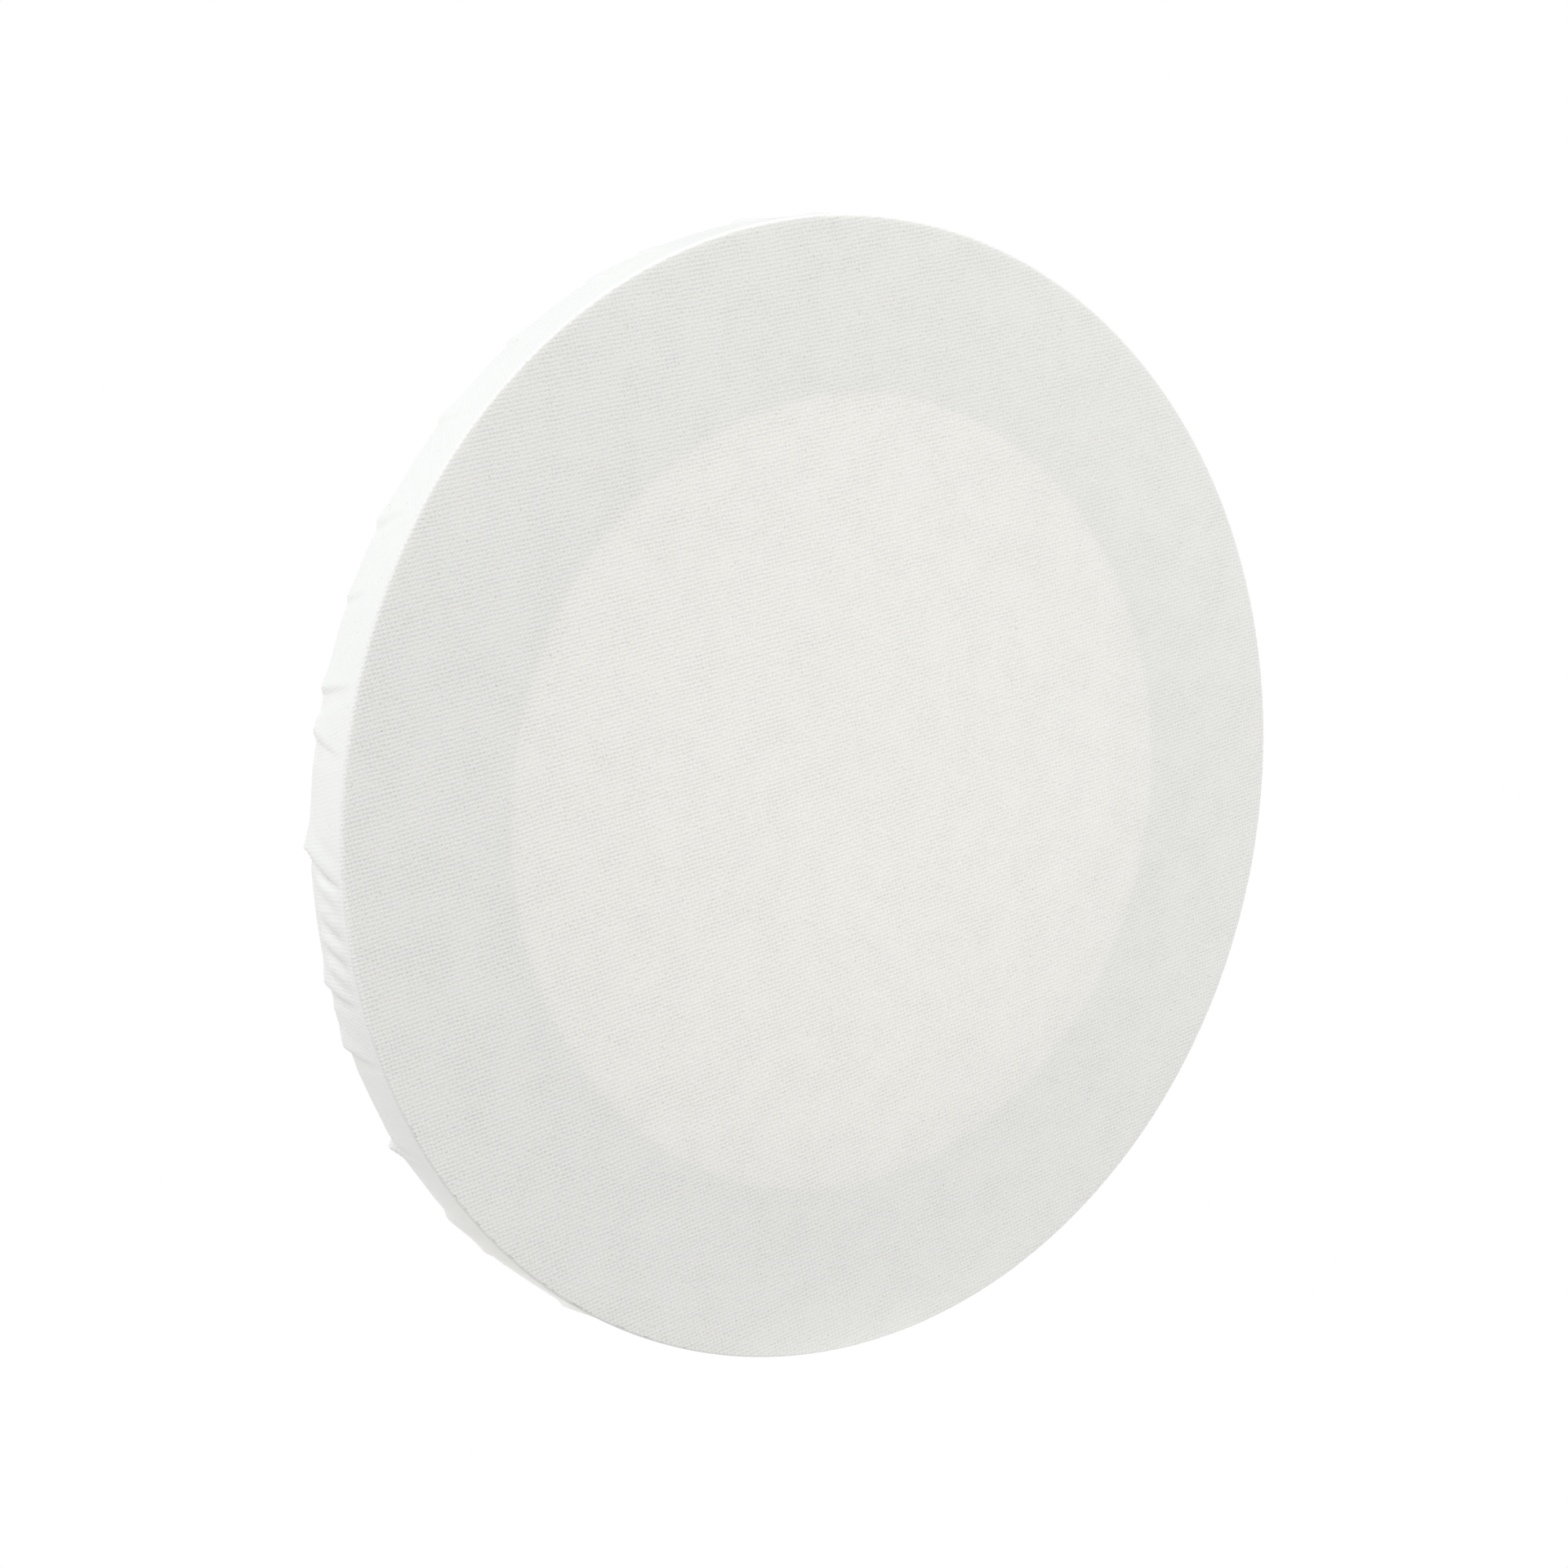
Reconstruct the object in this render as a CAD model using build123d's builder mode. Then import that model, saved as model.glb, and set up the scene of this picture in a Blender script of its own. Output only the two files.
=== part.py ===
"""Round stretched artist's canvas: primed cotton over a segmented wooden ring, stapled behind.

The disc stands upright. Its painting face looks along -Y, its back along +Y, and +Z is up.
The origin is the centre of the whole object. Millimetres.
"""

from build123d import *
from math import cos, radians, sin
import os

# The finished disc
DIAMETER = 300.0
OPENING_DIAMETER = 208.8
BOARD_THICKNESS = 16.0
CLOTH_THICKNESS = 0.5
FOLD_RADIUS = 1.5  # outer radius of the cloth where it turns over the ring
TURN_BACK_WIDTH = 25.0  # how far the cloth runs inwards over the ring's back

# The ring's glued segments
SEGMENT_COUNT = 6
INNER_EDGE_CHAMFER = 0.6
OUTER_EDGE_CHAMFER = 0.7  # inside the round turn of the cloth
FINGER_LENGTH = 6.0
FINGER_PITCH = 3.0
FINGER_TIP = 0.5
OUTLINE_MARGIN = 6.0  # how far a segment's finger line runs past the ring on each side

# The wire staples
STAPLE_COUNT = 36
STAPLE_FIRST_ANGLE = 4.0
STAPLE_CIRCLE_RADIUS = 137.0
STAPLE_CROWN = 9.0
STAPLE_LEG = 8.0
WIRE_THICKNESS = 0.55
WIRE_WIDTH = 0.75
CROWN_CORNER_RADIUS = 0.35
ANGLE_WANDER = 0.9  # degrees that a staple strays along its circle
RADIUS_WANDER = 0.8
TILT_WANDER = 6.0  # degrees that a crown leans from its circle's tangent

# Places along Y, from the painting face to the staples' crowns
TOTAL_DEPTH = CLOTH_THICKNESS + BOARD_THICKNESS + CLOTH_THICKNESS + WIRE_THICKNESS
FACE_Y = -TOTAL_DEPTH / 2
RING_FRONT_Y = FACE_Y + CLOTH_THICKNESS
RING_BACK_Y = RING_FRONT_Y + BOARD_THICKNESS
CLOTH_BACK_Y = RING_BACK_Y + CLOTH_THICKNESS

# Places along the radius
RADIUS = DIAMETER / 2
RING_RADIUS = RADIUS - CLOTH_THICKNESS
OPENING_RADIUS = OPENING_DIAMETER / 2
CUT_EDGE_RADIUS = RADIUS - TURN_BACK_WIDTH


def finger_line(angle):
    """The zigzag along which two segments meet, from inside the ring to outside, in the ring's plane."""
    slope = FINGER_PITCH / 2 - FINGER_TIP
    half = FINGER_LENGTH / 2
    fingers = int((RING_RADIUS - OPENING_RADIUS + 2 * OUTLINE_MARGIN) / FINGER_PITCH)
    reach = OPENING_RADIUS - OUTLINE_MARGIN
    steps = []
    for _ in range(fingers):
        steps.append((reach, -half))
        steps.append((reach + FINGER_TIP, -half))
        steps.append((reach + FINGER_TIP + slope, half))
        steps.append((reach + 2 * FINGER_TIP + slope, half))
        reach += FINGER_PITCH
    turn = radians(angle)
    return [(r * cos(turn) - t * sin(turn), r * sin(turn) + t * cos(turn)) for r, t in steps]


def stretcher_segment(first_angle):
    """One curved board of the ring, from the finger joint at first_angle to the next one."""
    last_angle = first_angle + 360 / SEGMENT_COUNT
    middle = radians((first_angle + last_angle) / 2)
    start = finger_line(first_angle)
    end = finger_line(last_angle)
    far = RING_RADIUS + 4 * OUTLINE_MARGIN
    near = OPENING_RADIUS - 4 * OUTLINE_MARGIN
    with BuildPart() as segment:
        # the whole ring, turned about Y
        with BuildSketch(Plane.XY) as board:
            with Locations(((OPENING_RADIUS + RING_RADIUS) / 2, (RING_FRONT_Y + RING_BACK_Y) / 2)):
                Rectangle(RING_RADIUS - OPENING_RADIUS, BOARD_THICKNESS)
            chamfer(board.vertices().group_by(Axis.X)[0], length=INNER_EDGE_CHAMFER)
            chamfer(board.vertices().group_by(Axis.X)[-1], length=OUTER_EDGE_CHAMFER)
        revolve(axis=Axis.Y)
        # kept between its two finger joints; this plane's X and Y are the object's X and Z
        with BuildSketch(Plane.XZ.offset(-TOTAL_DEPTH)):
            with BuildLine():
                Polyline(*start)
                ThreePointArc(start[-1], (far * cos(middle), far * sin(middle)), end[-1])
                Polyline(*reversed(end))
                ThreePointArc(end[0], (near * cos(middle), near * sin(middle)), start[0])
            make_face()
        extrude(amount=2 * TOTAL_DEPTH, mode=Mode.INTERSECT)
    return segment


def staple_plane(number):
    """Where one staple stands: X along its crown, Y out of the back, Z towards the disc's centre."""
    angle = STAPLE_FIRST_ANGLE + 360 / STAPLE_COUNT * number + ANGLE_WANDER * sin(2.3 * number)
    reach = STAPLE_CIRCLE_RADIUS + RADIUS_WANDER * sin(3.7 * number + 1)
    turn = radians(angle)
    tilt = radians(angle + 90 + TILT_WANDER * sin(1.9 * number + 2))
    crown_way = Vector(cos(tilt), 0, sin(tilt))
    back_way = Vector(0, 1, 0)
    place = Vector(reach * cos(turn), CLOTH_BACK_Y, reach * sin(turn))
    return Plane(origin=place, x_dir=crown_way, z_dir=crown_way.cross(back_way))


os.makedirs("parts", exist_ok=True)

# Canvas: one cup of cloth, with its face, its side and the turn-back behind
with BuildPart() as canvas:
    with BuildSketch(Plane.XY) as section:
        with BuildLine():
            Polyline(
                (0, FACE_Y),
                (RADIUS, FACE_Y),
                (RADIUS, CLOTH_BACK_Y),
                (CUT_EDGE_RADIUS, CLOTH_BACK_Y),
                (CUT_EDGE_RADIUS, RING_BACK_Y),
                (RING_RADIUS, RING_BACK_Y),
                (RING_RADIUS, RING_FRONT_Y),
                (0, RING_FRONT_Y),
                close=True,
            )
        make_face()
        inner_corners = section.vertices().group_by(Axis.X)[-2]
        fillet(inner_corners, radius=FOLD_RADIUS - CLOTH_THICKNESS)
        outer_corners = section.vertices().group_by(Axis.X)[-1].sort_by(Axis.Y)
        fillet([outer_corners[0], outer_corners[-1]], radius=FOLD_RADIUS)
    revolve(axis=Axis.Y)
canvas.part.label = "canvas"
export_step(canvas.part, "parts/canvas.step")

# Stretcher ring: six boards, finger-jointed end to end
for index in range(SEGMENT_COUNT):
    segment = stretcher_segment(index * 360 / SEGMENT_COUNT)
    segment.part.label = f"stretcher_segment_{index + 1}"
    export_step(segment.part, f"parts/{segment.part.label}.step")

# Staples: separate wires with chisel points, driven through the turn-back into the ring
half_crown = STAPLE_CROWN / 2
leg_inside = half_crown - WIRE_THICKNESS
leg_inside_end = WIRE_THICKNESS - STAPLE_LEG
with BuildPart() as staples:
    for number in range(STAPLE_COUNT):
        with BuildSketch(staple_plane(number)) as wire:
            with BuildLine():
                Polyline(
                    (-half_crown, WIRE_THICKNESS),
                    (half_crown, WIRE_THICKNESS),
                    (half_crown, -STAPLE_LEG),
                    (leg_inside, leg_inside_end),
                    (leg_inside, 0),
                    (-leg_inside, 0),
                    (-leg_inside, leg_inside_end),
                    (-half_crown, -STAPLE_LEG),
                    close=True,
                )
            make_face()
            crown_corners = wire.vertices().group_by(Axis.Y)[-1]
            fillet(crown_corners, radius=CROWN_CORNER_RADIUS)
        extrude(amount=WIRE_WIDTH / 2, both=True)
staples.part.label = "staples"
export_step(staples.part, "parts/staples.step")
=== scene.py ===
"""Looks of the round stretched canvas: pleated primed cloth, grained wooden ring, wire staples.

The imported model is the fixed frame. Lengths in the code are millimetres unless a name says otherwise;
mesh data is written in metres. Angles run anticlockwise from +X as seen from the painted side.
"""

import bpy
import numpy as np
from mathutils import Matrix, Vector


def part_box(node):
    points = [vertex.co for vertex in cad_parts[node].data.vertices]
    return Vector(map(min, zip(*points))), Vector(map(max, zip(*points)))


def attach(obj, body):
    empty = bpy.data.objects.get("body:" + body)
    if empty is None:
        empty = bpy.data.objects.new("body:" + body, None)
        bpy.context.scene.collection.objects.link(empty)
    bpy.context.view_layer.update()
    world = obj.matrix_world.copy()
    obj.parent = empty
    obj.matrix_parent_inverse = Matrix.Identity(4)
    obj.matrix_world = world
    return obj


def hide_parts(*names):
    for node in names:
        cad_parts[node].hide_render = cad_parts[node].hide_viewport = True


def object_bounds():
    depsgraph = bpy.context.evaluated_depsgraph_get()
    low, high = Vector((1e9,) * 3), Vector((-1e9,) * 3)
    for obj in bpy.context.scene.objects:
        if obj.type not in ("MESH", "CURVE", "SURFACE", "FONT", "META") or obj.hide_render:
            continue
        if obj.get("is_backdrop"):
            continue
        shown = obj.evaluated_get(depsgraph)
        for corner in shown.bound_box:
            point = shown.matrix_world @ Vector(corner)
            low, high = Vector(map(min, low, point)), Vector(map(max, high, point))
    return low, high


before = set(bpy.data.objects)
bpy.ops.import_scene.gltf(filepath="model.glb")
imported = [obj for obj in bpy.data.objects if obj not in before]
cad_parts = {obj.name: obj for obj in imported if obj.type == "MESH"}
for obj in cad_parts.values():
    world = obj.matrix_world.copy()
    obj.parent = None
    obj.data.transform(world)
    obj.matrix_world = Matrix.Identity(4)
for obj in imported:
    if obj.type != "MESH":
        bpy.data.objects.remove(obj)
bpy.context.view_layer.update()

MM = 0.001
SEED = 41
FLAT_CLOTH = "flat_cloth"  # attribute: a point's place in the cloth before it was folded over
PRIMED, RAW = 0, 1  # material slots of the cloth
CLOTH_LETS_THROUGH = 0.22  # share of the light that passes one face of the cloth

# The cloth, in the place its CAD solid holds
canvas_low, canvas_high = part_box("canvas")
DISC_RADIUS = canvas_high.x / MM
FACE_Y = canvas_low.y / MM
CLOTH_BACK_Y = canvas_high.y / MM
CUT_EDGE_RADIUS = 125.0
FRONT_FOLD_RADIUS = 0.8
BACK_FOLD_RADIUS = 1.5
THICKNESS = 0.42

# The weave: ribs of weft, crossed by finer warp
RIB_PITCH = 1.05
RIB_NORMAL_DEG = 100.0
WARP_PITCH = 1.14
WARP_NORMAL_DEG = 12.0
# How much each wave of it adds to the relief, and how deep the relief is
RIB_SHARE = 0.58
OVER_UNDER_SHARE = 0.2
WARP_SHARE = 0.7
CROSSING_SHARE = 0.18
SLANT_SHARE = 0.22
SLUB_SHARE = 2.4
PRIMED_RELIEF = 0.077
RAW_RELIEF = 0.1
SIDE_RELIEF = 0.32  # what is left of it past the front fold, on the primed cloth

# The staples, placed as the CAD solids are
STAPLE_COUNT = 36
STAPLE_FIRST_ANGLE = 4.0
STAPLE_STRAY = 0.9  # degrees that a staple strays along its circle
STAPLE_STRAY_STEP = 2.3
STAPLE_CLEARANCE = 3.1  # least angle from a staple to the pleat beside it, in degrees

# The ring's softwood
GROWTH_RING = 2.6

# Pleats
LAYER_STEP = 0.5  # from one layer of a folded pleat to the next
COLUMNS_PER_PLEAT = 32
KNOT_WEIGHTS = (0.8, 0.3, 1.0, 1.0, 0.3, 0.8)  # how densely columns stand at each knot of a pleat
FACE_ROWS = (138.0, 143.0, 147.0)  # radii
FRONT_FOLD_ROWS = 6
SIDE_ROWS = 15
BACK_FOLD_ROWS = 7
TURN_BACK_ROWS = 13
BACK_SOFTNESS = 0.22  # how soft the folds are where a pleat lies flat
COARSE_STEP = 8  # columns of the side for each column of the face's flat middle
FACE_RINGS = (0.93, 0.7, 0.4, 0.12)
FLATTENED_AT = 9.0  # how far in from the back edge a pleat lies flat
PLEAT_SPACING = 10.0
MOST_PROUD = 0.62  # how far a pleat's corner may stand off the round side
DEEPEST = -0.1  # how far the cloth may sink below the round side before it meets the ring
GIVE = 0.08  # how softly it meets it

# Pleats on the left and lower arc, where each has its own character. In order: angle at the back edge;
# 1 if the steep side faces on round the disc, -1 if back; height of the crest; depth of the pocket beside it;
# length of the gentle side; width of the pocket; share of the side that it crosses; drift towards the front;
# how soft its creases are
PLEAT_FACTS = ("angle", "fall", "crest", "pocket", "gentle", "width", "reach", "drift", "soft")
SHAPED_PLEATS = [
    (111.9, 1, 0.35, 0.55, 5.0, 3.0, 0.60, -0.8, 0.6),
    (118.3, 1, 0.30, 0.50, 4.0, 2.8, 0.50, -0.6, 0.6),
    (128.8, 1, 0.45, 0.70, 5.0, 3.4, 0.70, -1.2, 0.7),
    (138.8, 1, 0.50, 0.75, 6.0, 3.6, 0.75, -1.4, 0.7),
    (149.9, 1, 0.60, 0.85, 6.0, 3.8, 0.80, -1.4, 0.7),
    (157.3, 1, 0.35, 0.60, 4.0, 3.0, 0.60, -1.0, 0.6),
    (165.8, 1, 0.55, 1.20, 5.0, 4.4, 0.90, -0.6, 0.6),
    (169.8, 1, 0.45, 1.20, 3.5, 4.4, 0.90, 1.4, 0.55),
    (180.4, 1, 1.15, 1.30, 7.0, 2.6, 1.00, 2.6, 0.38),
    (193.0, 1, 0.60, 1.00, 5.0, 3.6, 0.95, 1.2, 0.6),
    (199.4, 1, 0.70, 1.00, 6.0, 3.8, 0.95, 1.0, 0.6),
    (210.4, -1, 1.60, 0.35, 2.8, 1.8, 0.65, 2.4, 0.5),
    (220.2, -1, 0.65, 0.30, 9.0, 3.2, 0.75, 0.5, 0.8),
    (226.0, 1, 0.25, 0.30, 4.0, 2.4, 0.60, 0.0, 0.7),
    (236.8, -1, 0.65, 0.20, 14.0, 3.0, 0.80, 0.0, 0.9),
    (250.0, -1, 0.50, 0.20, 9.0, 3.0, 0.80, 0.0, 0.9),
]

# Slanting ripples across the side, below the largest crease, with their angles in degrees
RIPPLE_MIDDLE = 187.2
RIPPLE_SPREAD = 5.5
RIPPLE_SPACING = 2.6
RIPPLE_HEIGHT = 0.78
RIPPLE_LIFT = 0.7  # how far their middle stands off the side, as a share of their height
RIPPLE_LEAN = 0.16  # degrees for each millimetre across the side
RIPPLE_EASE = 6.0  # how far in from each edge of the side they are at full height

# Light, with places in metres. The camera sees room and table as full white. A glow is how strongly
# they light the disc.
ROOM_GLOW = 0.58
TABLE_GLOW_BEFORE = 0.56  # the table in front of the disc
TABLE_GLOW_BEHIND = 1.12  # the table further back
TABLE_GLOW_UNDER = 2.0  # the table close behind the disc
TABLE_BLEND = 0.03  # half the width of the change from before to behind
TABLE_NEAR = 0.16  # from the disc's centre: the glow close behind fades out between these
TABLE_FAR = 0.3
FLOOR_GAP = 0.0002  # from the lowest pleat down to the table
LAMP_DISTANCE = 1.6
FLOOR_HALF = 8.0
COOL = (0.93, 0.97, 1.0)
PLAIN = (1.0, 1.0, 1.0)
LAMPS = [  # name, azimuth and elevation in degrees, watts, diameter, colour
    ("key_left", -80, 32, 12.6, 0.7, COOL),
    ("high_left", -100, 55, 5.6, 0.7, COOL),
    ("high_right", 100, 60, 6.5, 0.7, COOL),
    ("fill_front", 24, 16, 14.9, 0.7, PLAIN),
]
BEAM_WATTS = 62.0  # the lamp straight behind, whose beam just fills the ring's opening
BEAM_ANGLE = 8.9
BEAM_EDGE = 0.08  # the share of the beam over which it fades
BEAM_LAMP_RADIUS = 0.1

# The camera: lens and sensor in millimetres, place in metres
LENS = 63.9
SENSOR_WIDTH = 36.0
CAMERA_ACROSS = (0.8110, -0.5850, 0.0)
CAMERA_UP = (0.0846, 0.1173, 0.9895)
CAMERA_BACK = (-0.5788, -0.8025, 0.1447)
CAMERA_PLACE = (-0.43794, -0.58294, 0.10889)


def smoothstep(value, low, high):
    t = np.clip((value - low) / (high - low), 0.0, 1.0)
    return t * t * (3.0 - 2.0 * t)


def pleats():
    """Every pleat round the disc, in order of angle: the shaped ones, and evenly strayed ones between."""
    rng = np.random.default_rng(SEED)
    found = [dict(zip(PLEAT_FACTS, facts)) for facts in SHAPED_PLEATS]
    first = SHAPED_PLEATS[-1][0] + PLEAT_SPACING
    last = SHAPED_PLEATS[0][0] + 360.0 - PLEAT_SPACING / 2
    for angle in np.arange(first, last, PLEAT_SPACING):
        found.append({
            "angle": angle + rng.uniform(-1.6, 1.6),
            "fall": rng.choice((-1, 1)),
            "crest": rng.uniform(0.2, 0.8),
            "pocket": rng.uniform(0.4, 0.8),
            "gentle": rng.uniform(4.0, 9.0),
            "width": rng.uniform(2.2, 3.6),
            "reach": rng.uniform(0.4, 0.85),
            "drift": rng.uniform(-1.4, 1.4),
            "soft": rng.uniform(0.5, 0.7),
        })
    return found


def meridian():
    """Rows of the cloth from the face to the cut edge: flat reach, radius, depth and outward direction."""
    rows = [(radius, radius, FACE_Y + THICKNESS / 2, 0.0, -1.0) for radius in FACE_ROWS]
    for turn in np.linspace(0.0, np.pi / 2, FRONT_FOLD_ROWS):
        out, back = np.sin(turn), -np.cos(turn)
        radius = DISC_RADIUS - FRONT_FOLD_RADIUS + FRONT_BEND * out
        depth = FACE_Y + FRONT_FOLD_RADIUS + FRONT_BEND * back
        rows.append((FLAT_RADIUS + FRONT_BEND * turn, radius, depth, out, back))
    for down in np.linspace(0.0, SIDE_LENGTH, SIDE_ROWS)[1:]:
        depth = FACE_Y + FRONT_FOLD_RADIUS + down
        rows.append((SIDE_START + down, DISC_RADIUS - THICKNESS / 2, depth, 1.0, 0.0))
    for turn in np.linspace(0.0, np.pi / 2, BACK_FOLD_ROWS)[1:]:
        out, back = np.cos(turn), np.sin(turn)
        radius = DISC_RADIUS - BACK_FOLD_RADIUS + BACK_BEND * out
        depth = CLOTH_BACK_Y - BACK_FOLD_RADIUS + BACK_BEND * back
        rows.append((SIDE_END + BACK_BEND * turn, radius, depth, out, back))
    width = DISC_RADIUS - BACK_FOLD_RADIUS - CUT_EDGE_RADIUS
    for inward in np.linspace(0.0, width, TURN_BACK_ROWS)[1:]:
        radius = DISC_RADIUS - BACK_FOLD_RADIUS - inward
        rows.append((BACK_START + inward, radius, CLOTH_BACK_Y - THICKNESS / 2, 0.0, 1.0))
    return np.array(rows)


# Bend radii of the cloth's middle layer, and the flat reach at which each stretch begins
FRONT_BEND = FRONT_FOLD_RADIUS - THICKNESS / 2
BACK_BEND = BACK_FOLD_RADIUS - THICKNESS / 2
FLAT_RADIUS = DISC_RADIUS - FRONT_FOLD_RADIUS
SIDE_LENGTH = CLOTH_BACK_Y - FACE_Y - FRONT_FOLD_RADIUS - BACK_FOLD_RADIUS
SIDE_START = FLAT_RADIUS + FRONT_BEND * np.pi / 2
SIDE_END = SIDE_START + SIDE_LENGTH
BACK_START = SIDE_END + BACK_BEND * np.pi / 2


def pleat_section(pleat, start, end, back_angle, reach, radius):
    """One pleat cut across at one flat reach, from anchor to anchor: eight knots, along and outward."""
    span = np.radians(end - start)
    length = radius * span
    spare = (reach - radius) * span
    along_side = np.clip((reach - SIDE_START) / SIDE_LENGTH, 0.0, 1.0)
    flatten = smoothstep(reach, BACK_START - 1.0, BACK_START + FLATTENED_AT)
    drift = pleat["drift"] * (1.0 - along_side**2)
    centre_angle = (pleat["angle"] + drift) * (1.0 - flatten) + back_angle * flatten
    centre = radius * np.radians(centre_angle - start)
    # on the side: a gentle rise to the crest, then a steep drop into a pocket
    grown = np.clip((along_side - 1.0 + pleat["reach"]) / pleat["reach"], 0.0, 1.0)
    tall = grown**0.8
    wide = pleat["width"] * (0.4 + 0.6 * grown)
    gentle = pleat["gentle"] * (0.3 + 0.7 * grown)
    crest, pocket = pleat["crest"] * tall, pleat["pocket"] * tall
    ridge = [(-gentle, 0), (-0.45 * gentle, 0.6 * crest), (0, crest),
             (0.35 * wide, 0.3 * crest - 0.4 * pocket), (0.75 * wide, -pocket), (1.7 * wide, 0)]
    # behind: the same cloth pressed flat, top layer out, middle layer back, bottom layer on
    half = max(spare, 0.0) / 4
    flat = [(-half - 1.6, 0), (-half, 2 * LAYER_STEP), (half, 2 * LAYER_STEP),
            (half, LAYER_STEP), (-half, LAYER_STEP), (-half, 0)]
    knots = (1.0 - flatten) * np.array(ridge, float) + flatten * np.array(flat, float)
    if pleat["fall"] < 0:
        knots = knots[::-1] * (-1, 1)
    knots[:, 0] += centre
    return np.vstack([(0.0, 0.0), knots, (length, 0.0)])


def chord(pleat, angle, reach):
    """The cloth runs straight from one pleat's corner to the next: how far that stands off the round side."""
    before = angle < pleat["angle"]
    gap = np.radians(np.where(before, pleat["gap_before"], pleat["gap_after"]))
    along = np.radians(np.abs(angle - pleat["angle"]))
    near = DISC_RADIUS + pleat["proud"]
    far = DISC_RADIUS + np.where(before, pleat["proud_before"], pleat["proud_after"])
    line = near * far * np.sin(gap) / (near * np.sin(along) + far * np.sin(gap - along))
    rise = smoothstep(reach, SIDE_START, SIDE_END)
    fall = smoothstep(reach, SIDE_END, BACK_START + 4.0)
    return rise * (1.0 - fall) * np.maximum(line - DISC_RADIUS, 0.0)


def ripples(angle, reach):
    """Slanting parallel ripples across the side, where the cloth was pulled unevenly."""
    window = np.exp(-(((angle - RIPPLE_MIDDLE) / RIPPLE_SPREAD) ** 2))
    grown = smoothstep(reach, SIDE_START, SIDE_START + RIPPLE_EASE)
    faded = smoothstep(reach, SIDE_END - RIPPLE_EASE, SIDE_END)
    hold = grown * (1.0 - faded)
    lean = RIPPLE_LEAN * (reach - SIDE_END)
    wave = np.sin(2 * np.pi * (angle + lean) / RIPPLE_SPACING)
    return RIPPLE_HEIGHT * window * hold * (RIPPLE_LIFT + wave)


def kept_off_ring(lift):
    """Holds the cloth's lift above the place where it would meet the ring, and leaves 0 where it is."""
    low = np.exp(DEEPEST / GIVE)
    return GIVE * np.log((np.exp(lift / GIVE) + low) / (1.0 + low))


def softened(section, softness, samples=500):
    """The knots' path sampled evenly by length and rounded, with the ends held in line."""
    steps = np.hypot(*np.diff(section, axis=0).T)
    length = np.concatenate([[0.0], np.cumsum(steps)])
    spots = np.linspace(0.0, length[-1], samples)
    path = np.stack([np.interp(spots, length, section[:, k]) for k in (0, 1)], axis=1)
    spread = max(softness / (spots[1] + 1e-9), 0.5)
    reach = int(4 * spread) + 1
    kernel = np.exp(-0.5 * (np.arange(-reach, reach + 1) / spread) ** 2)
    kernel /= kernel.sum()
    before = 2 * path[0] - path[reach:0:-1]
    after = 2 * path[-1] - path[-2:-reach - 2:-1]
    padded = np.vstack([before, path, after])
    rounded = np.stack([np.convolve(padded[:, k], kernel, "valid") for k in (0, 1)], axis=1)
    return spots / length[-1], rounded, length / length[-1]


def column_shares(features):
    """Where the columns of one pleat stand, as shares of its flat width, dense where the cloth bends."""
    grid = np.linspace(0.0, 1.0, 1200)
    density = np.full(grid.shape, 0.9)
    for spots in features:
        for spot, weight in zip(spots, KNOT_WEIGHTS):
            density += weight * np.exp(-0.5 * ((grid - spot) / 0.012) ** 2) * 9.0 / len(features)
    total = np.concatenate([[0.0], np.cumsum((density[1:] + density[:-1]) / 2)])
    return np.interp(np.arange(COLUMNS_PER_PLEAT) / COLUMNS_PER_PLEAT, total / total[-1], grid)


def staple_angles():
    """The angle of every staple, evenly spaced but for a small stray."""
    number = np.arange(STAPLE_COUNT)
    stray = STAPLE_STRAY * np.sin(STAPLE_STRAY_STEP * number)
    return STAPLE_FIRST_ANGLE + 360.0 / STAPLE_COUNT * number + stray


def back_places(all_pleats):
    """Where each pleat lies on the back: moved to the clear stretch between its two staples."""
    staples = np.sort(np.mod(staple_angles(), 360.0))
    ring = np.concatenate([staples - 360.0, staples, staples + 360.0])
    places = []
    for pleat in all_pleats:
        after = int(np.searchsorted(ring, pleat["angle"]))
        low, high = ring[after - 1], ring[after]
        places.append(float(np.clip(pleat["angle"], low + STAPLE_CLEARANCE, high - STAPLE_CLEARANCE)))
    return places


def anchor_share(pleat, following):
    """Where the anchor between two pleats stands, so that each has room for the side it needs."""
    room = pleat["gentle"] if pleat["fall"] < 0 else 1.7 * pleat["width"]
    next_room = following["gentle"] if following["fall"] > 0 else 1.7 * following["width"]
    return float(np.clip(room / (room + next_room), 0.25, 0.75))


def link_neighbours(all_pleats):
    """Gives each pleat its neighbours' distance, how proud their corners stand, and its anchors."""
    count = len(all_pleats)
    for k, pleat in enumerate(all_pleats):
        following = all_pleats[(k + 1) % count]
        gap = (following["angle"] - pleat["angle"]) % 360.0
        pleat["gap_after"], following["gap_before"] = gap, gap
        pleat["end"] = pleat["angle"] + gap * anchor_share(pleat, following)
        following["start"] = following["angle"] - gap * (1.0 - anchor_share(pleat, following))
    for pleat in all_pleats:
        widest = max(pleat["gap_before"], pleat["gap_after"])
        pleat["proud"] = min(DISC_RADIUS * (1.0 - np.cos(np.radians(widest / 2))), MOST_PROUD)
    for k, pleat in enumerate(all_pleats):
        pleat["proud_before"] = all_pleats[k - 1]["proud"]
        pleat["proud_after"] = all_pleats[(k + 1) % count]["proud"]


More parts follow.
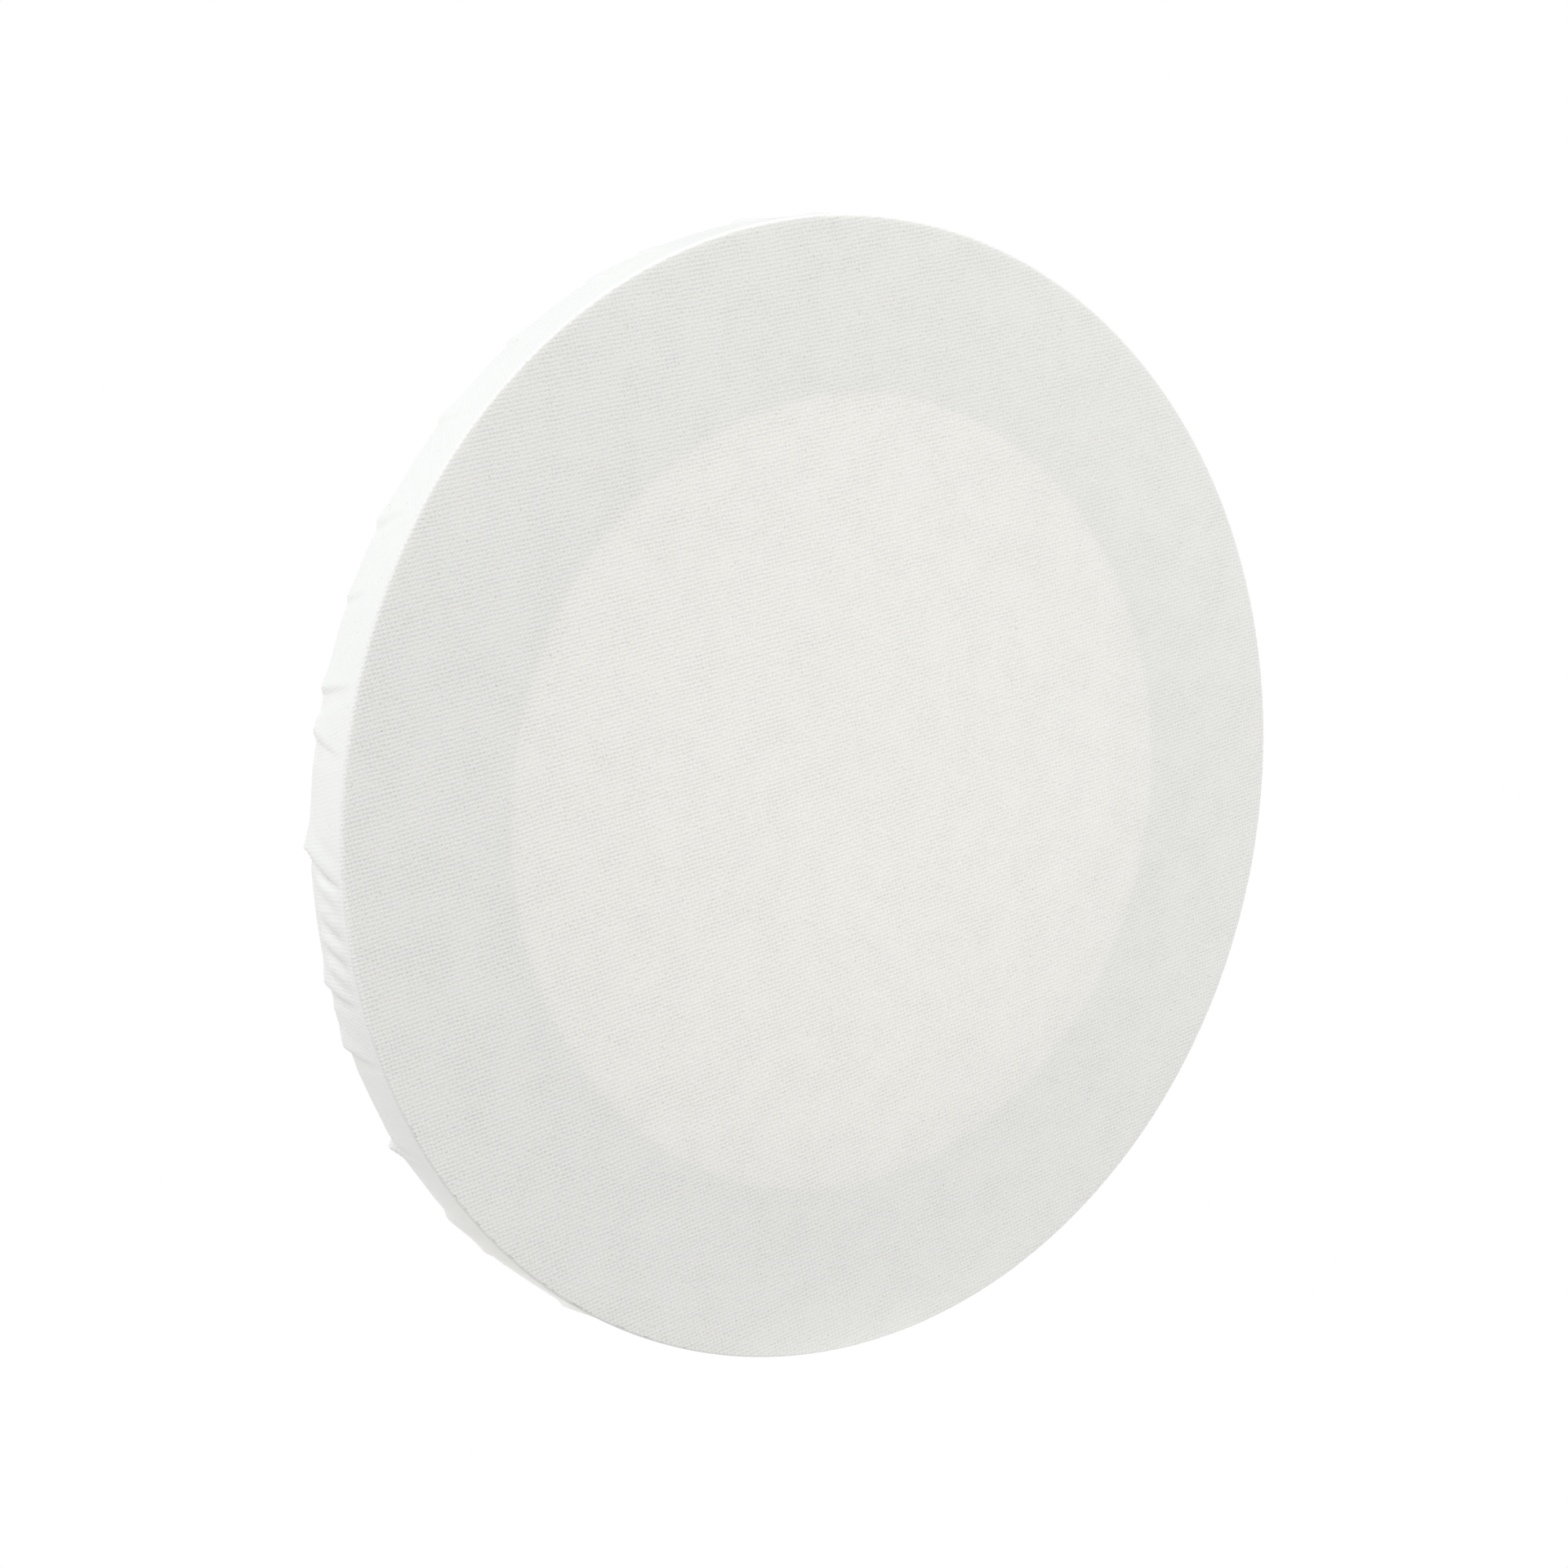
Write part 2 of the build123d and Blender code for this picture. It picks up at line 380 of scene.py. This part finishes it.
def pleated_grid():
    """The cloth's middle layer: each point's angle, outward lift and angle in the flat cloth."""
    rows = meridian()
    all_pleats = pleats()
    link_neighbours(all_pleats)
    parts = []
    for pleat, place in zip(all_pleats, back_places(all_pleats)):
        start, end = pleat["start"], pleat["end"]
        paths = []
        for row in rows:
            section = pleat_section(pleat, start, end, place, row[0], row[1])
            turned = smoothstep(row[0], SIDE_END, BACK_START + FLATTENED_AT)
            paths.append(softened(section, pleat["soft"] * (1.0 - turned) + BACK_SOFTNESS * turned))
        shares = column_shares([p[2][1:-1] for p in paths])
        part = np.empty((len(rows), len(shares), 3))
        for number, (row, (spots, path, _)) in enumerate(zip(rows, paths)):
            angle = start + np.degrees(np.interp(shares, spots, path[:, 0]) / row[1])
            lift = np.interp(shares, spots, path[:, 1]) + chord(pleat, angle, row[0]) + ripples(angle, row[0])
            part[number, :, 0] = np.radians(angle)
            part[number, :, 1] = kept_off_ring(lift)
            part[number, :, 2] = np.radians(start + shares * (end - start))
        parts.append(part)
    grid = np.concatenate(parts, axis=1)
    return rows, grid[..., 0], grid[..., 1], grid[..., 2]


def cut_edge_stray(flat_angle):
    """How far the hand-cut edge strays inwards, with its small frayed teeth."""
    slow = 0.9 * np.sin(3 * flat_angle + 0.6) + 0.6 * np.sin(7 * flat_angle + 2.0)
    rng = np.random.default_rng(SEED + 1)
    return slow + rng.normal(0.0, 0.16, flat_angle.shape)


def grid_normals(points):
    """Unit outward direction at every grid point, from its neighbours."""
    across = np.roll(points, -1, axis=1) - np.roll(points, 1, axis=1)
    along = np.gradient(points, axis=0)
    normal = np.cross(along, across)
    return normal / np.linalg.norm(normal, axis=2, keepdims=True)


def canvas_mesh():
    """A closed shell of cloth: primed outside, raw inside, with the flat cloth's own coordinates."""
    rows, theta, out, flat_angle = pleated_grid()
    reach = np.repeat(rows[:, :1], theta.shape[1], axis=1)
    inward = np.clip((reach - BACK_START) / (rows[-1, 0] - BACK_START), 0.0, 1.0)
    stray = inward**2 * cut_edge_stray(flat_angle[0])[None, :]
    radius = rows[:, 1:2] + out * rows[:, 3:4] - stray
    depth = rows[:, 2:3] + out * rows[:, 4:5]
    points = np.stack([radius * np.cos(theta), depth + 0 * theta, radius * np.sin(theta)], axis=2)
    normals = grid_normals(points)
    laid = reach + stray
    flat_place = np.stack([laid * np.cos(flat_angle), laid * np.sin(flat_angle)], axis=2)
    return shell_mesh("canvas_cloth", points, normals, flat_place)


def shell_mesh(name, points, normals, flat_place):
    """Joins the grid's two offset layers, the flat middle of the face and the rim along the cut edge."""
    row_count, column_count = points.shape[:2]
    coarse = np.arange(0, column_count, COARSE_STEP)
    depth = points[0, 0, 1]
    vertices, places, faces, materials = [], [], [], []
    count = 0
    for side in (1, -1):
        offset = side * THICKNESS / 2
        vertices.append((points + offset * normals).reshape(-1, 3))
        places.append(flat_place.reshape(-1, 2))
        for share in FACE_RINGS:
            ring = points[0][coarse] * (share, 0.0, share)
            vertices.append(ring + (0.0, depth - offset, 0.0))
            places.append(flat_place[0][coarse] * share)
        vertices.append(np.array([[0.0, depth - offset, 0.0]]))
        places.append(np.zeros((1, 2)))
        made = sheet_faces(row_count, column_count, len(coarse), count)
        faces += made if side > 0 else [face[::-1] for face in made]
        materials += [PRIMED if side > 0 else RAW] * len(made)
        count = sum(len(v) for v in vertices)
    outer = (row_count - 1) * column_count
    inner = count // 2 + outer
    for k in range(column_count):
        after = (k + 1) % column_count
        faces.append((outer + after, outer + k, inner + k, inner + after))
        materials.append(RAW)
    mesh = bpy.data.meshes.new(name)
    mesh.from_pydata((np.vstack(vertices) * MM).tolist(), [], faces)
    mesh.polygons.foreach_set("material_index", materials)
    mesh.shade_smooth()
    flat = np.vstack(places)
    layer = mesh.attributes.new(FLAT_CLOTH, "FLOAT_VECTOR", "POINT")
    layer.data.foreach_set("vector", np.column_stack([flat, np.zeros(len(flat))]).ravel())
    mesh.update()
    return mesh


def sheet_faces(row_count, column_count, coarse_count, base):
    """Faces of one side of the cloth: the grid, a ring of long faces, and the coarse middle."""
    faces = []
    for row in range(row_count - 1):
        low, high = base + row * column_count, base + (row + 1) * column_count
        for k in range(column_count):
            after = (k + 1) % column_count
            faces.append((low + k, high + k, high + after, low + after))
    step = column_count // coarse_count
    ring = base + row_count * column_count
    for k in range(coarse_count):
        edge = [base + (k * step + i) % column_count for i in range(step + 1)]
        faces.append((ring + k, *edge, ring + (k + 1) % coarse_count))
    for number in range(len(FACE_RINGS) - 1):
        high, low = ring + number * coarse_count, ring + (number + 1) * coarse_count
        for k in range(coarse_count):
            after = (k + 1) % coarse_count
            faces.append((low + k, high + k, high + after, low + after))
    last = ring + (len(FACE_RINGS) - 1) * coarse_count
    for k in range(coarse_count):
        faces.append((last + coarse_count, last + k, last + (k + 1) % coarse_count))
    return faces


def add(tree, kind, inputs=None, **settings):
    """A new shader node: settings are its properties, inputs its values or the sockets that feed it."""
    node = tree.nodes.new(kind)
    for name, value in settings.items():
        setattr(node, name, value)
    for name, value in (inputs or {}).items():
        if isinstance(value, bpy.types.NodeSocket):
            tree.links.new(value, node.inputs[name])
        else:
            node.inputs[name].default_value = value
    return node.outputs


def calc(tree, operation, first, second=0.0, third=0.0):
    return add(tree, "ShaderNodeMath", {0: first, 1: second, 2: third}, operation=operation)[0]


def vector_calc(tree, operation, first, second, output="Vector"):
    return add(tree, "ShaderNodeVectorMath", {0: first, 1: second}, operation=operation)[output]


def scaled(tree, vector, factor):
    return add(tree, "ShaderNodeVectorMath", {0: vector, "Scale": factor}, operation="SCALE")["Vector"]


def noise(tree, vector, scale, detail=2.0, output="Fac"):
    inputs = {"Vector": vector, "Scale": scale, "Detail": detail}
    return add(tree, "ShaderNodeTexNoise", inputs)[output]


def ranged(tree, value, low, high, start=0.0, end=1.0):
    inputs = {"Value": value, "From Min": low, "From Max": high, "To Min": start, "To Max": end}
    return add(tree, "ShaderNodeMapRange", inputs, interpolation_type="SMOOTHSTEP")["Result"]


def mixed(tree, share, first, second):
    node = tree.nodes.new("ShaderNodeMix")
    node.data_type = "RGBA"
    for socket, value in ((node.inputs[0], share), (node.inputs[6], first), (node.inputs[7], second)):
        if isinstance(value, bpy.types.NodeSocket):
            tree.links.new(value, socket)
        else:
            socket.default_value = value
    return node.outputs[2]


def new_material(name):
    material = bpy.data.materials.new(name)
    material.use_nodes = True
    material.node_tree.nodes.clear()
    return material, material.node_tree


def direction(degrees, pitch):
    """The wave vector of yarns with that pitch, whose rows are crossed along this direction."""
    turn = np.radians(degrees)
    return (np.pi / pitch * np.cos(turn), np.pi / pitch * np.sin(turn), 0.0)


def woven_cloth(tree, flat):
    """Height of a plain ribbed weave: broad weft ribs, finer warp, and one yarn over the other in turn."""
    stray = vector_calc(tree, "SUBTRACT", noise(tree, flat, 0.11, 2.0, "Color"), (0.5, 0.5, 0.5))
    yarns = vector_calc(tree, "ADD", flat, scaled(tree, stray, 0.9))
    rib = vector_calc(tree, "DOT_PRODUCT", yarns, direction(RIB_NORMAL_DEG, RIB_PITCH), "Value")
    warp = vector_calc(tree, "DOT_PRODUCT", yarns, direction(WARP_NORMAL_DEG, WARP_PITCH), "Value")
    rib_wave, warp_wave = calc(tree, "COSINE", rib), calc(tree, "COSINE", warp)
    over_under = calc(tree, "MULTIPLY", rib_wave, warp_wave)
    ribs = calc(tree, "COSINE", calc(tree, "MULTIPLY", rib, 2.0))
    warps = calc(tree, "COSINE", calc(tree, "MULTIPLY", warp, 2.0))
    height = calc(tree, "MULTIPLY_ADD", ribs, RIB_SHARE, calc(tree, "MULTIPLY", over_under, OVER_UNDER_SHARE))
    height = calc(tree, "MULTIPLY_ADD", warps, WARP_SHARE, height)
    height = calc(tree, "MULTIPLY_ADD", calc(tree, "MULTIPLY", ribs, warps), CROSSING_SHARE, height)
    slants = calc(tree, "COSINE", calc(tree, "MULTIPLY", calc(tree, "SUBTRACT", rib, warp), 2.0))
    height = calc(tree, "MULTIPLY_ADD", slants, SLANT_SHARE, height)
    grains = add(tree, "ShaderNodeCombineXYZ", {
        "X": calc(tree, "MULTIPLY", warp, 0.22), "Y": calc(tree, "MULTIPLY", rib, 0.36)})["Vector"]
    slub = calc(tree, "SUBTRACT", noise(tree, grains, 1.1), 0.5)
    return calc(tree, "MULTIPLY_ADD", slub, SLUB_SHARE, height), rib, warp


def primed_cloth(name):
    """White acrylic primer on the weave, matt, a little light passing through it, with painted shade in the
    weave's hollows.
    """
    material, tree = new_material(name)
    flat = add(tree, "ShaderNodeAttribute", attribute_name=FLAT_CLOTH)["Vector"]
    weave, rib, warp = woven_cloth(tree, flat)
    grain = noise(tree, flat, 2.6, 3.0)
    plain = ranged(tree, noise(tree, flat, 0.09, 3.0), 0.32, 0.68, 0.8, 1.14)
    height = calc(tree, "MULTIPLY_ADD", grain, 0.9, calc(tree, "MULTIPLY", weave, plain))
    reach = vector_calc(tree, "LENGTH", flat, (0, 0, 0), "Value")
    kept = ranged(tree, reach, FLAT_RADIUS - 1.0, FLAT_RADIUS + 1.5, 1.0, SIDE_RELIEF)
    height = calc(tree, "MULTIPLY", height, kept)
    slow_rib = calc(tree, "MULTIPLY", rib, 0.03)
    along_warp = add(tree, "ShaderNodeCombineXYZ", {"X": warp, "Y": slow_rib})["Vector"]
    streak = noise(tree, along_warp, 0.35)
    patches = noise(tree, flat, 0.02, 2.0)
    tone = calc(tree, "MULTIPLY_ADD", streak, 0.25, calc(tree, "MULTIPLY", patches, 0.75))
    color = mixed(tree, tone, (0.835, 0.835, 0.82, 1), (0.875, 0.873, 0.857, 1))
    # Painted shade: the colour darkens towards grey in the weave's low places, where shade falls between the
    # yarns
    painted_pit_shade = ranged(tree, weave, 0.1, -0.9, 0.0, 0.05)
    color = mixed(tree, painted_pit_shade, color, (0.55, 0.55, 0.53, 1))
    color = mixed(tree, fold_cracks(tree, flat), color, (0.30, 0.30, 0.29, 1))
    color = mixed(tree, specks(tree, flat), color, (0.22, 0.21, 0.2, 1))
    bump = add(tree, "ShaderNodeBump", {
        "Strength": 1.0, "Distance": PRIMED_RELIEF * MM, "Height": height})["Normal"]
    skin = add(tree, "ShaderNodeBsdfPrincipled", {
        "Base Color": color, "Roughness": ranged(tree, grain, 0.3, 0.7, 0.82, 0.95),
        "Specular IOR Level": 0.3, "Normal": bump})["BSDF"]
    through = add(tree, "ShaderNodeBsdfTranslucent", {"Color": (0.9, 0.87, 0.8, 1), "Normal": bump})["BSDF"]
    both = add(tree, "ShaderNodeMixShader", {"Fac": CLOTH_LETS_THROUGH, 1: skin, 2: through})["Shader"]
    add(tree, "ShaderNodeOutputMaterial", {"Surface": both})
    return material


def fold_cracks(tree, flat):
    """Fine dashes where the primer cracked along the front fold, low on the left."""
    reach = vector_calc(tree, "LENGTH", flat, (0, 0, 0), "Value")
    off_fold = calc(tree, "ABSOLUTE", calc(tree, "SUBTRACT", reach, FLAT_RADIUS + 0.2))
    on_fold = ranged(tree, off_fold, 0.18, 0.05)
    towards = (-0.67 / DISC_RADIUS, -0.74 / DISC_RADIUS, 0)
    lower_left = vector_calc(tree, "DOT_PRODUCT", flat, towards, "Value")
    likely = ranged(tree, lower_left, 0.8, 0.97, 0.0, 0.17)
    place = add(tree, "ShaderNodeSeparateXYZ", {"Vector": flat})
    turn = calc(tree, "ARCTAN2", place["Y"], place["X"])
    round_fold = add(tree, "ShaderNodeCombineXYZ", {
        "X": calc(tree, "MULTIPLY", turn, DISC_RADIUS), "Y": calc(tree, "MULTIPLY", reach, 2.0)})["Vector"]
    dashes = noise(tree, round_fold, 0.5, 2.0)
    broken = ranged(tree, calc(tree, "ADD", dashes, likely), 0.72, 0.76)
    return calc(tree, "MULTIPLY", calc(tree, "MULTIPLY", on_fold, broken), 0.42)


def specks(tree, flat):
    """A few tiny dark specks of bark in the cotton, showing through the primer."""
    cells = add(tree, "ShaderNodeTexVoronoi", {"Vector": flat, "Scale": 0.13}, voronoi_dimensions="2D")
    near = ranged(tree, cells["Distance"], 0.028, 0.012)
    chosen = calc(tree, "GREATER_THAN", add(tree, "ShaderNodeSeparateColor", {0: cells["Color"]})[0], 0.75)
    return calc(tree, "MULTIPLY", calc(tree, "MULTIPLY", near, chosen), 0.55)


def raw_cloth(name):
    """The unprimed back of the same cloth, and its cut edge: cream cotton with plain yarns and painted shade
    in the hollows of its weave.
    """
    material, tree = new_material(name)
    flat = add(tree, "ShaderNodeAttribute", attribute_name=FLAT_CLOTH)["Vector"]
    weave, _, _ = woven_cloth(tree, flat)
    fuzz = noise(tree, flat, 5.0, 4.0)
    tone = calc(tree, "MULTIPLY_ADD", noise(tree, flat, 0.06), 0.6, calc(tree, "MULTIPLY", fuzz, 0.4))
    color = mixed(tree, tone, (0.66, 0.60, 0.48, 1), (0.80, 0.75, 0.64, 1))
    # Painted shade: the colour darkens to brown in the weave's low places, where shade falls between the
    # yarns
    color = mixed(tree, ranged(tree, weave, 0.2, -1.0, 0.0, 0.35), color, (0.42, 0.36, 0.27, 1))
    color = mixed(tree, specks(tree, flat), color, (0.16, 0.11, 0.07, 1))
    height = calc(tree, "MULTIPLY_ADD", fuzz, 0.5, weave)
    bump = add(tree, "ShaderNodeBump", {
        "Strength": 1.0, "Distance": RAW_RELIEF * MM, "Height": height})["Normal"]
    skin = add(tree, "ShaderNodeBsdfPrincipled", {
        "Base Color": color, "Roughness": 0.95, "Specular IOR Level": 0.2,
        "Sheen Weight": 0.2, "Sheen Roughness": 0.5, "Normal": bump})["BSDF"]
    through = add(tree, "ShaderNodeBsdfTranslucent", {"Color": (0.85, 0.8, 0.68, 1), "Normal": bump})["BSDF"]
    both = add(tree, "ShaderNodeMixShader", {"Fac": CLOTH_LETS_THROUGH, 1: skin, 2: through})["Shader"]
    add(tree, "ShaderNodeOutputMaterial", {"Surface": both})
    return material


def softwood(name, middle_deg, seed):
    """Planed pale softwood whose grain runs along one segment of the ring."""
    material, tree = new_material(name)
    place = scaled(tree, add(tree, "ShaderNodeTexCoord")["Object"], 1.0 / MM)
    spin = (0.0, np.radians(middle_deg + 90.0), 0.0)
    along = add(tree, "ShaderNodeMapping", {
        "Vector": place, "Rotation": spin, "Location": (370.0 * seed, 110.0 * seed, 230.0 * seed)})["Vector"]
    sway = noise(tree, vector_calc(tree, "MULTIPLY", along, (0.006, 0.03, 0.03)), 1.0, 2.0)
    axes = add(tree, "ShaderNodeSeparateXYZ", {0: along})
    across = calc(tree, "MULTIPLY_ADD", axes["Y"], 0.6, calc(tree, "MULTIPLY_ADD", sway, 26.0, axes["Z"]))
    ring_wave = calc(tree, "SINE", calc(tree, "MULTIPLY", across, 2 * np.pi / GROWTH_RING))
    fibres = noise(tree, vector_calc(tree, "MULTIPLY", along, (0.05, 1.8, 1.8)), 1.0, 4.0)
    late = ranged(tree, ring_wave, 0.0, 1.0)
    color = mixed(tree, late, (0.60, 0.43, 0.26, 1), (0.45, 0.28, 0.14, 1))
    color = mixed(tree, ranged(tree, fibres, 0.42, 0.75, 0.0, 0.3), color, (0.33, 0.20, 0.10, 1))
    pale = noise(tree, vector_calc(tree, "MULTIPLY", along, (0.01, 0.04, 0.04)), 1.0, 2.0)
    color = mixed(tree, ranged(tree, pale, 0.3, 0.7, 0.05, 0.35), color, (0.68, 0.53, 0.35, 1))
    height = calc(tree, "MULTIPLY_ADD", late, 0.3, fibres)
    bump = add(tree, "ShaderNodeBump", {"Strength": 0.7, "Distance": 0.08 * MM, "Height": height})["Normal"]
    skin = add(tree, "ShaderNodeBsdfPrincipled", {
        "Base Color": color, "Roughness": ranged(tree, fibres, 0.3, 0.7, 0.52, 0.7), "Normal": bump})["BSDF"]
    add(tree, "ShaderNodeOutputMaterial", {"Surface": skin})
    return material


def galvanised_wire(name):
    """Zinc-coated staple wire, drawn lengthways and a little dull."""
    material, tree = new_material(name)
    place = add(tree, "ShaderNodeTexCoord")["Object"]
    dull = noise(tree, place, 1500.0, 3.0)
    color = mixed(tree, dull, (0.36, 0.37, 0.39, 1), (0.58, 0.58, 0.58, 1))
    bump = add(tree, "ShaderNodeBump", {"Strength": 0.4, "Distance": 0.02 * MM, "Height": dull})["Normal"]
    skin = add(tree, "ShaderNodeBsdfPrincipled", {
        "Base Color": color, "Metallic": 1.0, "Roughness": ranged(tree, dull, 0.3, 0.7, 0.28, 0.45),
        "Normal": bump})["BSDF"]
    add(tree, "ShaderNodeOutputMaterial", {"Surface": skin})
    return material


def make_canvas():
    """The cloth in one piece, in place of its plain CAD solid."""
    cloth = bpy.data.objects.new("canvas_cloth", canvas_mesh())
    bpy.context.scene.collection.objects.link(cloth)
    cloth.data.materials.append(primed_cloth("primed_cotton"))
    cloth.data.materials.append(raw_cloth("raw_cotton"))
    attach(cloth, "root")
    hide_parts("canvas")


def dress_frame():
    """Finishes for the CAD nodes that show: each board's own grain, and the staples' zinc."""
    for node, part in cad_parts.items():
        if node == "staples":
            finish = galvanised_wire("galvanised_wire")
        elif node.startswith("stretcher_segment"):
            number = int(node.rsplit("_", 1)[1])
            finish = softwood(f"softwood_{number}", 60.0 * number - 30.0, number)
        else:
            continue
        for place in part.material_slots:
            place.material = finish


def area_light(name, azimuth, elevation, power, diameter, color):
    """A round soft lamp aimed at the disc. Azimuth 0 is in front, 90 to the right, 180 behind."""
    lamp = bpy.data.lights.new(name, "AREA")
    lamp.shape = "DISK"
    lamp.size = diameter
    lamp.energy = power
    lamp.color = color
    turn, rise = np.radians(azimuth), np.radians(elevation)
    away = Vector((np.sin(turn) * np.cos(rise), -np.cos(turn) * np.cos(rise), np.sin(rise)))
    stand = bpy.data.objects.new(name, lamp)
    stand.location = LAMP_DISTANCE * away
    stand.rotation_euler = away.to_track_quat("Z", "Y").to_euler()
    bpy.context.scene.collection.objects.link(stand)


def beam_behind():
    """A narrow lamp behind the disc: its light passes the ring's opening and shines through the cloth."""
    lamp = bpy.data.lights.new("behind", "SPOT")
    lamp.energy = BEAM_WATTS
    lamp.spot_size = np.radians(BEAM_ANGLE)
    lamp.spot_blend = BEAM_EDGE
    lamp.shadow_soft_size = BEAM_LAMP_RADIUS
    stand = bpy.data.objects.new("behind", lamp)
    stand.location = (0.0, LAMP_DISTANCE, 0.0)
    stand.rotation_euler = Vector((0.0, 1.0, 0.0)).to_track_quat("Z", "Y").to_euler()
    bpy.context.scene.collection.objects.link(stand)


def shown_white(tree, glow):
    """Strength of a glow that the camera sees as full white, and that lights the disc by its own amount."""
    seen = add(tree, "ShaderNodeLightPath")["Is Camera Ray"]
    return calc(tree, "MAXIMUM", seen, calc(tree, "MULTIPLY", calc(tree, "SUBTRACT", 1.0, seen), glow))


def white_room():
    """An even white world all round."""
    world = bpy.data.worlds.new("white_room")
    world.use_nodes = True
    tree = world.node_tree
    tree.nodes.clear()
    strength = shown_white(tree, ROOM_GLOW)
    sky = add(tree, "ShaderNodeBackground", {"Color": (1, 1, 1, 1), "Strength": strength})["Background"]
    add(tree, "ShaderNodeOutputWorld", {"Surface": sky})
    bpy.context.scene.world = world


def light_table():
    """The floor: a plain white table lit from within, just under the lowest pleat."""
    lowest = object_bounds()[0].z - FLOOR_GAP
    mesh = bpy.data.meshes.new("floor")
    side = FLOOR_HALF
    corners = [(-side, -side, lowest), (side, -side, lowest), (side, side, lowest), (-side, side, lowest)]
    mesh.from_pydata(corners, [], [(0, 1, 2, 3)])
    floor = bpy.data.objects.new("floor", mesh)
    bpy.context.scene.collection.objects.link(floor)
    material, tree = new_material("light_table")
    place = add(tree, "ShaderNodeNewGeometry")["Position"]
    depth = add(tree, "ShaderNodeSeparateXYZ", {"Vector": place})["Y"]
    away = vector_calc(tree, "LENGTH", place, (0, 0, 0), "Value")
    behind = ranged(tree, away, TABLE_NEAR, TABLE_FAR, TABLE_GLOW_UNDER, TABLE_GLOW_BEHIND)
    share = ranged(tree, depth, -TABLE_BLEND, TABLE_BLEND)
    more = calc(tree, "SUBTRACT", behind, TABLE_GLOW_BEFORE)
    light = calc(tree, "MULTIPLY_ADD", share, more, TABLE_GLOW_BEFORE)
    strength = shown_white(tree, light)
    glow = add(tree, "ShaderNodeEmission", {"Color": (1, 1, 1, 1), "Strength": strength})["Emission"]
    add(tree, "ShaderNodeOutputMaterial", {"Surface": glow})
    mesh.materials.append(material)
    floor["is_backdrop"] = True


def studio():
    """White room and table, four soft lamps, and a narrow beam from behind that shines through the cloth."""
    white_room()
    light_table()
    for lamp in LAMPS:
        area_light(*lamp)
    beam_behind()


def camera():
    """Stands to the left of the face and a little above its middle."""
    lens = bpy.data.cameras.new("camera")
    lens.lens = LENS
    lens.sensor_width = SENSOR_WIDTH
    stand = bpy.data.objects.new("camera", lens)
    turned = Matrix((CAMERA_ACROSS, CAMERA_UP, CAMERA_BACK)).transposed().to_4x4()
    turned.translation = CAMERA_PLACE
    stand.matrix_world = turned
    bpy.context.scene.collection.objects.link(stand)
    bpy.context.scene.camera = stand


make_canvas()
dress_frame()
studio()
camera()
bpy.context.scene.view_settings.view_transform = "Standard"
